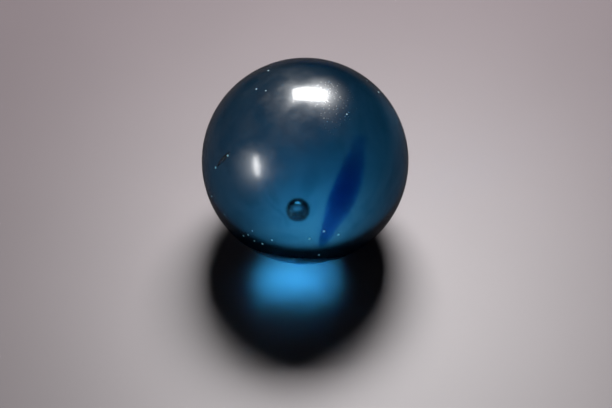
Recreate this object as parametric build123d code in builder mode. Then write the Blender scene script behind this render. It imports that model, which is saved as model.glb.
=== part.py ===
from build123d import *
import math
import os

# A toy marble: a ball of clear teal glass, with an air bubble and a twisted cobalt ribbon sealed inside.
# Millimetres. The origin is the ball's centre, +Z is up as it lies, and -Y is the side that it is seen from.

# Ball
ball_diameter = 15.95

# Air bubble
bubble_diameter = 1.44
bubble_centre = (-0.43, -3.48, -0.47)

# Cobalt ribbon: a blade with thin edges, carried along a spine and twisted on its way
ribbon_width = 1.54
ribbon_thickness = 0.72
ribbon_twist = -66.0  # degrees that the blade turns about its spine, end to end
ribbon_tip = 0.32  # size of its blunt tips, as a share of its widest part
ribbon_taper = 0.5  # under 1 it fills out quickly from its tips, over 1 slowly
ribbon_droop = 1.4  # over 1 its widest part lies nearer its lower tip
ribbon_spans = 8  # stretches between the sections that the blade is drawn through
ribbon_spine = [
    (2.30, 2.95, -1.50),
    (2.30, 1.35, -1.30),
    (2.05, -0.35, -1.45),
    (1.52, -1.80, -2.05),
    (0.75, -2.85, -3.60),
]

centre = Vector(0, 0, 0)
side = Vector(1, 0, 0)

# Ribbon
with BuildLine() as spine:
    Spline(*ribbon_spine)


def blade_plane(share):
    """Plane square to the spine at a share of its length, with its x direction across the blade."""
    along = spine.line % share
    across = side.rotate(Axis(centre, along), ribbon_twist * share)
    return Plane(origin=spine.line @ share, x_dir=across, z_dir=along)


def fullness(share):
    """Size of the blade's section, as a share of the widest one, at a share of the spine's length."""
    return max(ribbon_tip, abs(math.sin(math.pi * share**ribbon_droop)) ** ribbon_taper)


with BuildPart() as cobalt_ribbon:
    for span in range(ribbon_spans + 1):
        share = span / ribbon_spans
        half_width = ribbon_width / 2 * fullness(share)
        half_thickness = ribbon_thickness / 2 * fullness(share)
        with BuildSketch(blade_plane(share)):
            with BuildLine():
                ThreePointArc((-half_width, 0), (0, half_thickness), (half_width, 0))
                ThreePointArc((half_width, 0), (0, -half_thickness), (-half_width, 0))
            make_face()
    loft()
cobalt_ribbon.part.label = "cobalt_ribbon"

# Ball, solid glass but for the bubble and the place that the ribbon fills
with BuildPart() as glass_body:
    Sphere(ball_diameter / 2)
    with Locations(bubble_centre):
        Sphere(bubble_diameter / 2, mode=Mode.SUBTRACT)
    add(cobalt_ribbon.part, mode=Mode.SUBTRACT)
glass_body.part.label = "glass_body"

os.makedirs("parts", exist_ok=True)
export_step(glass_body.part, "parts/glass_body.step")
export_step(cobalt_ribbon.part, "parts/cobalt_ribbon.step")
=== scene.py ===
import math

import bpy
import numpy as np
from mathutils import Matrix, Vector


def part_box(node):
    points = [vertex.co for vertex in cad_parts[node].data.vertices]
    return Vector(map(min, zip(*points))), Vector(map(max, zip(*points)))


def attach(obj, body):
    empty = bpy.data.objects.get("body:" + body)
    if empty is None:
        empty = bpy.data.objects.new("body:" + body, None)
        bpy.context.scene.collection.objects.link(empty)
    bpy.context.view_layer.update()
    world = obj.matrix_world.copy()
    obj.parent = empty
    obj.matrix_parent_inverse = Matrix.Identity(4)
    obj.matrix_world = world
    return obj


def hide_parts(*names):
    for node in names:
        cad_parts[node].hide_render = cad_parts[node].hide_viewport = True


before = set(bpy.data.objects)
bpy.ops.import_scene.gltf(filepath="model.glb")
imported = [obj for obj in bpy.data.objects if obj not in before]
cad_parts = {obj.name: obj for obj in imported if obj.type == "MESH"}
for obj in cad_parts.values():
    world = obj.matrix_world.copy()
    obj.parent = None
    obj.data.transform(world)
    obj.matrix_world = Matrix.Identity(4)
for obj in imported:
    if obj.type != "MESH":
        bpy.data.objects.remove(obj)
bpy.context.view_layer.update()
mm = 0.001
scene = bpy.context.scene


class Wire:  # a shader socket that can be used in sums: each operator adds one Math node
    def __init__(self, tree, socket):
        self.tree = tree
        self.socket = socket

    def math(self, operation, first, second):
        node = self.tree.nodes.new("ShaderNodeMath")
        node.operation = operation
        plug(self.tree, node.inputs[0], first)
        plug(self.tree, node.inputs[1], second)
        return Wire(self.tree, node.outputs[0])

    def __add__(self, other):
        return self.math("ADD", self, other)

    def __radd__(self, other):
        return self.math("ADD", other, self)

    def __sub__(self, other):
        return self.math("SUBTRACT", self, other)

    def __rsub__(self, other):
        return self.math("SUBTRACT", other, self)

    def __mul__(self, other):
        return self.math("MULTIPLY", self, other)

    def __rmul__(self, other):
        return self.math("MULTIPLY", other, self)


def plug(tree, socket, value):
    if isinstance(value, Wire):
        tree.links.new(value.socket, socket)
    else:
        socket.default_value = value


class Finish:  # a material being written, with one method for every kind of node
    def __init__(self, name):
        self.material = bpy.data.materials.new(name)
        self.material.use_nodes = True
        self.tree = self.material.node_tree
        self.tree.nodes.clear()

    def node(self, kind, settings=None, output=0, **sockets):
        node = self.tree.nodes.new("ShaderNode" + kind)
        for key, value in (settings or {}).items():
            if key == "stops":
                ramp(node, value)
            else:
                setattr(node, key, value)
        for key, value in sockets.items():
            wanted = key.lower()
            socket = next(s for s in node.inputs if s.enabled and s.name.replace(" ", "").lower() == wanted)
            plug(self.tree, socket, value)
        return Wire(self.tree, node.outputs[output]) if len(node.outputs) else None

    def mixShaders(self, share, first, second):  # first at 0, second at 1
        mixed = self.node("MixShader", Fac=share)
        for socket, shader in zip(mixed.socket.node.inputs[1:], (first, second)):
            plug(self.tree, socket, shader)
        return mixed

    def mixColours(self, share, first, second):  # first at 0, second at 1
        asColour = {"data_type": "RGBA"}
        colourResult = 2  # the Mix node has one result for each kind of value, under the same name
        return self.node("Mix", asColour, output=colourResult, Factor=share, A=first, B=second)


def ramp(node, stops):
    elements = node.color_ramp.elements
    while len(elements) < len(stops):
        elements.new(1.0)
    for element, (place, colour) in zip(elements, stops):
        element.position = place
        element.color = (*colour, 1.0)


def absorb(finish, perMetre, headroom=1.05):  # a volume that takes up this much red, green and blue per metre
    density = max(perMetre) * headroom
    colour = [1 - a / density for a in perMetre]
    return finish.node("VolumeAbsorption", Color=(*colour, 1.0), Density=density)


def fade(finish, value, start, end, low=0.0, high=1.0):  # high at start, low at end, smooth between
    settings = {"interpolation_type": "SMOOTHSTEP"}
    return finish.node("MapRange", settings, Value=value, FromMin=start, FromMax=end, ToMin=high, ToMax=low)


# A round patch: a fade by the distance from its centre. Centre, start and end are in millimetres.
def patch(finish, place, centre, start, end, **levels):
    shifted = finish.node("Mapping", Vector=place, Location=[-c * mm for c in centre])
    distance = finish.node("VectorMath", {"operation": "LENGTH"}, output="Value", Vector=shifted)
    return fade(finish, distance, start * mm, end * mm, **levels)


def unit(v):
    v = np.asarray(v, float)
    return v / np.linalg.norm(v)


# Each shell is (points, faces). A grid of rows and columns closes on itself round its columns, and a single
# point closes it at each end, so no seam or pole is left open.
def closedShell(rings, startTip, endTip):
    rows, cols = rings.shape[:2]
    points = np.vstack([startTip, rings.reshape(-1, 3), endTip])
    r, c = np.meshgrid(np.arange(rows - 1), np.arange(cols), indexing="ij")
    here = 1 + r * cols + c
    beside = 1 + r * cols + (c + 1) % cols
    quads = np.stack([here, beside, beside + cols, here + cols], -1)
    ring = np.arange(cols)
    last = len(points) - 1
    first = np.stack([np.zeros(cols, int), 1 + (ring + 1) % cols, 1 + ring], -1)
    final = np.stack([np.full(cols, last), last - cols + ring, last - cols + (ring + 1) % cols], -1)
    return points, [first, quads.reshape(-1, 4), final]


def makePiece(name, shells, finish, smooth=True):
    points = np.vstack([p for p, _ in shells])
    faces, start = [], 0
    for p, groups in shells:
        for group in groups:
            faces += (group + start).tolist()
        start += len(p)
    mesh = bpy.data.meshes.new(name)
    mesh.from_pydata(points.tolist(), [], faces)
    mesh.polygons.foreach_set("use_smooth", [smooth] * len(faces))
    mesh.update()
    piece = bpy.data.objects.new(name, mesh)
    scene.collection.objects.link(piece)
    mesh.materials.append(finish)
    return piece


# A ball, or a bead drawn out along its axis: for t from pole to pole, a circle of radius across * sin(t) at a
# height of along * cos(t). Faces look outwards, or into the hollow when it is a bubble.
def roundShell(centre, across, along, axis, rows, cols, hollow=False):
    axis = unit(axis)
    offAxis = (0.3, 0.5, 0.8)  # any direction but the axis
    sideways = unit(np.cross(axis, offAxis))
    third = np.cross(axis, sideways)
    t = np.linspace(0, math.pi, rows + 2)[1:-1, None, None]
    turn = np.linspace(0, 2 * math.pi, cols, endpoint=False)[None, :, None]
    if not hollow:
        turn = -turn
    rings = along * np.cos(t) * axis + across * np.sin(t) * (np.cos(turn) * sideways + np.sin(turn) * third)
    return closedShell(rings + centre, np.array(centre) + along * axis, np.array(centre) - along * axis)


# Ball. Patches and specks are in millimetres from its centre.
ball = {
    "diameter": 15.94 * mm,
    "axis": (0.91, 0.28, 0.31),
    "grid": (160, 320),  # rows and columns
    "bubbleCentre": (-0.43 * mm, -3.48 * mm, -0.47 * mm),
    "bubbleDiameter": 1.44 * mm,
    "bubbleGrid": (48, 96),
    "streakEnds": ((-6.51 * mm, -3.07 * mm, 2.70 * mm), (-5.54 * mm, -3.14 * mm, 4.28 * mm)),
    "streakWidth": 0.34 * mm,
    "streakGrid": (40, 24),
    "glassIor": 1.51,
    "absorption": (285.0, 134.0, 84.0),  # per metre
    "swirlCourse": {"Rotation": (0.5, 0.35, 0.3), "Scale": (1.0, 0.28, 1.0)},
    "swirlNoise": {"Scale": 300.0, "Detail": 3.0, "Distortion": 1.2},
    "swirl": {"stops": [(0.36, (0.42, 0.64, 0.70)), (0.5, (0.84, 0.92, 0.96)), (0.6, (1.0, 1.0, 1.0))]},
    "smudgeNoise": {"Scale": 330.0, "Detail": 5.0, "Roughness": 0.62},
    "smudgesOnPits": {"start": 0.56, "end": 0.42},
    "smudgesOnHaze": {"start": 0.64, "end": 0.36, "low": 0.35, "high": 1.25},
    "pitCells": {"Scale": 4300.0, "Randomness": 1.0},
    "pitEdge": {"start": 0.08, "end": 0.3},
    "pitBump": {"Strength": 0.5, "Distance": 0.02 * mm},
    "pitted": {"centre": (1.5, -1.3, 7.7), "start": 0.8, "end": 3.4, "low": 0.12},
    "hazy": {"centre": (-3.6, -2.6, 6.6), "start": 2.5, "end": 8.5, "low": 0.01, "high": 0.75},
    "scuffed": {"centre": (-0.6, -4.2, -6.7), "start": 3.2, "end": 5.5},
    "rubbed": {"centre": (1.75, -0.2, 7.77), "start": 0.4, "end": 2.3},
    "roughness": 0.17,
    "roughnessWorn": 0.4,  # this much more in the pits
    "roughnessScuffed": 0.58,  # this much more on the scuffed patch
    "coat": {"CoatRoughness": 0.4, "CoatIOR": 2.0},
    "coatRubbed": 0.4,
    # Dust on the specks, with a painted glint: the emission makes each speck glow pale blue though it is no
    # lamp.
    "dust": {
        "BaseColor": (0.72, 0.88, 0.92, 1.0),
        "Roughness": 0.5,
        "EmissionColor": (0.10, 0.28, 0.36, 1.0),
        "EmissionStrength": 1.0,
    },
    "speckStart": 0.4,  # a speck fades out between these shares of its size
    "speckEnd": 1.1,
    "specks": [  # x, y, z and size
        (1.42, -7.86, 0.58, 0.12),
        (2.52, -7.59, -0.10, 0.11),
        (0.33, -7.99, -0.12, 0.10),
        (-2.53, -7.58, -0.75, 0.10),
        (-3.28, -7.17, -1.66, 0.10),
        (-4.75, -6.28, -1.74, 0.08),
        (-3.90, -6.85, -1.70, 0.07),
        (-4.03, -6.94, -0.42, 0.07),
        (-7.22, -3.58, -0.18, 0.07),
        (-0.89, -7.34, -3.24, 0.10),
        (3.13, -1.89, 7.10, 0.06),
        (5.66, 2.42, 5.16, 0.08),
        (4.78, 3.22, 5.60, 0.06),
        (-2.82, 3.05, 6.88, 0.08),
        (-3.72, 0.85, 7.06, 0.07),
        (-2.98, 0.30, 7.43, 0.06),
        # These two sit at the streak's ends as painted glints.
        (-6.63, -3.15, 2.62, 0.11),
        (-5.80, -3.42, 4.20, 0.10),
        (-4.35, -6.62, -1.20, 0.08),
        (-6.15, -5.05, -0.60, 0.07),
        (1.05, -7.50, -2.45, 0.09),
    ],
}


def dustAndGlintSpecks(finish, place):  # 1 on each speck of dust with its painted glint, which is first brought onto the ball's surface, and 0 elsewhere
    specks = 0.0
    for x, y, z, size in ball["specks"]:
        onBall = unit((x, y, z)) * ball["diameter"] / 2 / mm
        speck = patch(finish, place, onBall, ball["speckStart"] * size, ball["speckEnd"] * size)
        specks = speck + specks
    return specks


def tealGlass():
    finish = Finish("tealGlass")
    place = finish.node("TexCoord", output="Object")
    smudges = finish.node("TexNoise", Vector=place, **ball["smudgeNoise"])
    pits = fade(finish, finish.node("TexVoronoi", Vector=place, **ball["pitCells"]), **ball["pitEdge"])
    worn = pits * patch(finish, place, **ball["pitted"]) * fade(finish, smudges, **ball["smudgesOnPits"])
    haze = patch(finish, place, **ball["hazy"]) * fade(finish, smudges, **ball["smudgesOnHaze"])
    rubbed = patch(finish, place, **ball["rubbed"])
    scuffed = patch(finish, place, **ball["scuffed"])
    streaked = finish.node("Mapping", Vector=place, **ball["swirlCourse"])
    swirl = finish.node("TexNoise", Vector=streaked, **ball["swirlNoise"])
    glass = finish.node(
        "BsdfPrincipled",
        BaseColor=finish.node("ValToRGB", ball["swirl"], Fac=swirl),
        Roughness=worn * ball["roughnessWorn"] + scuffed * ball["roughnessScuffed"] + ball["roughness"],
        IOR=ball["glassIor"],
        TransmissionWeight=1.0,
        CoatWeight=haze + rubbed * ball["coatRubbed"],
        Normal=finish.node("Bump", Height=1.0 - worn, **ball["pitBump"]),
        **ball["coat"],
    )
    # The specks' dust, with a painted glint that glows.
    dust = finish.node("BsdfPrincipled", **ball["dust"])
    surface = finish.mixShaders(dustAndGlintSpecks(finish, place), glass, dust)
    finish.node("OutputMaterial", Surface=surface, Volume=absorb(finish, ball["absorption"]))
    return finish.material


# The ball, its bubble and the drawn-out streak, which is a thin hollow bead.
def ballShells():
    centre, radius = (0.0, 0.0, 0.0), ball["diameter"] / 2
    outside = roundShell(centre, radius, radius, ball["axis"], *ball["grid"])
    centre, radius = ball["bubbleCentre"], ball["bubbleDiameter"] / 2
    bubble = roundShell(centre, radius, radius, ball["axis"], *ball["bubbleGrid"], hollow=True)
    low, high = (np.array(end) for end in ball["streakEnds"])
    centre, radius, length = (low + high) / 2, ball["streakWidth"] / 2, np.linalg.norm(high - low)
    streak = roundShell(centre, radius, length / 2, high - low, *ball["streakGrid"], hollow=True)
    return [outside, bubble, streak]


glassBody = makePiece("glassBody", ballShells(), tealGlass())
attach(glassBody, "root")
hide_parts("glass_body")
print("ball made")

# Ribbon
ribbon = {
    "width": 1.5 * mm,
    "thickness": 0.72 * mm,
    "thinned": [(0.0, 0.08), (0.3, 0.8), (0.5, 1.0), (0.62, 0.85), (0.78, 0.52), (1.0, 0.5)],
    "twist": -66.0,  # degrees from end to end
    "taper": 0.4,
    "droop": 1.7,
    "tip": 0.42,
    "endPower": 20,  # the higher, the blunter its ends
    "rows": 120,
    "cols": 64,
    "spine": [  # millimetres
        (2.30, 2.95, -1.50),
        (2.30, 1.35, -1.30),
        (2.05, -0.35, -1.45),
        (1.52, -1.80, -2.05),
        (0.75, -2.85, -3.60),
    ],
    "absorption": (6400.0, 2450.0, 930.0),  # per metre
    "surface": {  # no bending or mirroring of light, because it lies in the ball's glass
        "BaseColor": (0.55, 0.8, 0.99, 1.0),
        "Roughness": 0.0,
        "IOR": 1.0,
        "TransmissionWeight": 1.0,
    },
}


# A smooth curve through the points: on each stretch from b to c, at a share t of it, the cubic whose slope is
# half the step from a to c at b and half the step from b to d at c, where a and d are the points beyond.
def curveThrough(points, shares):
    points = np.asarray(points, float)
    padded = np.vstack([2 * points[0] - points[1], points, 2 * points[-1] - points[-2]])
    place = np.clip(shares, 0, 1) * (len(points) - 1)
    k = np.minimum(place.astype(int), len(points) - 2)
    t = (place - k)[:, None]
    a, b, c, d = (padded[k + n] for n in range(4))
    squared, cubed = 2 * a - 5 * b + 4 * c - d, 3 * b - a - 3 * c + d
    return 0.5 * (2 * b + (c - a) * t + squared * t**2 + cubed * t**3)


# A blade: at each share s of the spine, an oval turned about the spine by twist * s. Its width is the full
# one times f, which is sin(pi * s**droop)**taper, never under tip, times the root of
# 1 - |2 * s - 1|**endPower to round off both ends. Its thickness is the full one times f, times the share
# in thinned.
def blade(spec):
    shares = np.linspace(0, 1, spec["rows"] + 2)
    line = curveThrough(np.array(spec["spine"]) * mm, shares)
    along = np.gradient(line, axis=0)
    along /= np.linalg.norm(along, axis=1, keepdims=True)
    across = np.array([1.0, 0.0, 0.0]) - along[:, :1] * along
    across /= np.linalg.norm(across, axis=1, keepdims=True)
    upward = np.cross(along, across)
    turn = np.radians(spec["twist"] * shares)[:, None]
    wide = across * np.cos(turn) + upward * np.sin(turn)
    thick = np.cross(along, wide)
    full = np.maximum(spec["tip"], np.abs(np.sin(math.pi * shares ** spec["droop"])) ** spec["taper"])
    full = (full * np.sqrt(1 - np.abs(2 * shares - 1) ** spec["endPower"]))[1:-1, None, None]
    thinned = np.interp(shares, *zip(*spec["thinned"]))[1:-1, None, None]
    angle = np.linspace(0, 2 * math.pi, spec["cols"], endpoint=False)[None, :, None]
    rings = line[1:-1, None] + full * (
        spec["width"] / 2 * np.cos(angle) * wide[1:-1, None]
        + thinned * spec["thickness"] / 2 * np.sin(angle) * thick[1:-1, None]
    )
    return closedShell(rings, line[0], line[-1])


def cobaltGlass():
    finish = Finish("cobaltGlass")
    surface = finish.node("BsdfPrincipled", **ribbon["surface"])
    finish.node("OutputMaterial", Surface=surface, Volume=absorb(finish, ribbon["absorption"]))
    return finish.material


cobaltRibbon = makePiece("cobaltRibbon", [blade(ribbon)], cobaltGlass())
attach(cobaltRibbon, "root")
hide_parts("cobalt_ribbon")

# Floor, light and camera
stage = {
    "floorSize": 3.0,
    "floorNoise": {"Scale": 90.0, "Detail": 3.0},
    "floorShades": (0.94, 1.06),  # its darkest and lightest, as shares of its colour
    "floorSeen": {"colour": (0.20, 0.155, 0.17), "Roughness": 0.5, "IOR": 1.55, "SpecularIORLevel": 1.0},
    "farGlow": {"centre": (0.0, 0.0, -8.0), "start": 110.0, "end": 22.0},  # millimetres
    "floorInGlass": {"colour": (0.05, 0.045, 0.05), "Roughness": 0.48, "IOR": 1.8, "SpecularIORLevel": 1.0},
    "glowInGlass": (0.085, 0.082, 0.09, 1.0),
    "leanInGlass": (0.09, -0.34, 0.936),
    "floorElsewhere": {"colour": (0.06, 0.055, 0.06), "Roughness": 0.9, "SpecularIORLevel": 0.0},
    "backdropColour": (0.31, 0.28, 0.29, 1.0),
    "worldColour": (0.005, 0.0053, 0.006, 1.0),
    "lamps": {
        "key": {
            "place": (6.2 * mm, 43.4 * mm, 66.9 * mm),
            "upward": (-0.028, 0.853, -0.522),
            "width": 40.0 * mm,
            "height": 22.5 * mm,
            "radiance": 32.0,
            "shape": "RECTANGLE",
            "lightsMatt": True,
        },
        "side": {
            "place": (-408.7 * mm, -226.0 * mm, 178.5 * mm),
            "upward": (-0.112, 0.733, 0.671),
            "width": 58.0 * mm,
            "height": 185.0 * mm,
            "radiance": 17.0,
            "shape": "ELLIPSE",
            "lightsMatt": False,  # it shows in gloss and glass only
        },
    },
    "bounces": 24,
}


def floorShader(finish, noise, colour, **sockets):
    dark, light = ((*[c * shade for c in colour], 1.0) for shade in stage["floorShades"])
    return finish.node("BsdfPrincipled", BaseColor=finish.mixColours(noise, dark, light), **sockets)


# Three floors in one. The camera sees a pale satin one, which glows in the backdrop's colour further out.
# Rays that come through glass meet a dark one with a glow and a broad sheen, shaded as if it leaned. All
# other rays meet a dark matt one.
def paleFloor():
    finish = Finish("paleFloor")
    place = finish.node("TexCoord", output="Object")
    noise = finish.node("TexNoise", Vector=place, **stage["floorNoise"])
    black = (0.0, 0.0, 0.0, 1.0)
    farGlow = finish.mixColours(patch(finish, place, **stage["farGlow"]), black, stage["backdropColour"])
    lean = finish.node("CombineXYZ", **dict(zip("XYZ", stage["leanInGlass"])))
    seen = floorShader(finish, noise, EmissionColor=farGlow, EmissionStrength=1.0, **stage["floorSeen"])
    inGlass = floorShader(
        finish,
        noise,
        Normal=lean,
        EmissionColor=stage["glowInGlass"],
        EmissionStrength=1.0,
        **stage["floorInGlass"],
    )
    elsewhere = floorShader(finish, noise, **stage["floorElsewhere"])
    unseen = finish.mixShaders(finish.node("LightPath", output="Is Transmission Ray"), elsewhere, inGlass)
    surface = finish.mixShaders(finish.node("LightPath", output="Is Camera Ray"), unseen, seen)
    finish.node("OutputMaterial", Surface=surface)
    return finish.material


half = stage["floorSize"] / 2
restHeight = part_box("glass_body")[0].z
corners = np.array([(x * half, y * half, restHeight) for x, y in ((-1, -1), (1, -1), (1, 1), (-1, 1))])
floor = makePiece("floor", [(corners, [np.array([[0, 1, 2, 3]])])], paleFloor(), smooth=False)


def areaLamp(name, place, upward, width, height, radiance, shape, lightsMatt):
    light = bpy.data.lights.new(name, "AREA")
    light.shape = shape
    light.size = width
    light.size_y = height
    light.energy = radiance * width * height * math.pi  # watts that give a rectangle that radiance
    lamp = bpy.data.objects.new(name, light)
    back = Vector(place).normalized()  # it faces the ball's centre
    side = Vector(upward).cross(back).normalized()
    lamp.location = place
    lamp.rotation_euler = Matrix((side, back.cross(side), back)).transposed().to_euler()
    lamp.visible_diffuse = lightsMatt
    scene.collection.objects.link(lamp)


for name, spec in stage["lamps"].items():
    areaLamp(name, **spec)

# The world is dim, but the camera sees the backdrop's colour.
world = bpy.data.worlds.new("dimRoom")
world.use_nodes = True
nodes, links = world.node_tree.nodes, world.node_tree.links
room = nodes["Background"]
backdrop, mixed, ray = (nodes.new("ShaderNode" + kind) for kind in ("Background", "MixShader", "LightPath"))
room.inputs["Color"].default_value = stage["worldColour"]
backdrop.inputs["Color"].default_value = stage["backdropColour"]
links.new(ray.outputs["Is Camera Ray"], mixed.inputs[0])
links.new(room.outputs[0], mixed.inputs[1])
links.new(backdrop.outputs[0], mixed.inputs[2])
links.new(mixed.outputs[0], nodes["World Output"].inputs["Surface"])
scene.world = world

view = {
    "elevation": 46.5,
    "distance": 220 * mm,
    "focalPixels": 2851.5,
    "frameWidth": 612,
    "frameHeight": 408,
    "ballPixel": (305.17, 161.08),
    "sensorWidth": 36.0,
    "clipStart": 10 * mm,
}
rise = math.radians(view["elevation"])
towardsCamera = Vector((0.0, -math.cos(rise), math.sin(rise)))
imageUp = Vector((0.0, math.sin(rise), math.cos(rise)))
perPixel = view["distance"] / view["focalPixels"]
aim = Vector((1.0, 0.0, 0.0)) * (view["frameWidth"] / 2 - view["ballPixel"][0]) * perPixel
aim -= imageUp * (view["frameHeight"] / 2 - view["ballPixel"][1]) * perPixel
camera = bpy.data.objects.new("camera", bpy.data.cameras.new("camera"))
camera.data.sensor_width = view["sensorWidth"]
camera.data.lens = view["focalPixels"] / view["frameWidth"] * camera.data.sensor_width
camera.data.clip_start = view["clipStart"]
camera.location = towardsCamera * view["distance"]
camera.rotation_euler = (camera.location - aim).to_track_quat("Z", "Y").to_euler()
scene.collection.objects.link(camera)
scene.camera = camera

scene.view_settings.view_transform = "Standard"
scene.cycles.blur_glossy = 0.0
scene.cycles.max_bounces = stage["bounces"]
scene.cycles.transmission_bounces = stage["bounces"]
scene.cycles.transparent_max_bounces = stage["bounces"]
print("stage made")
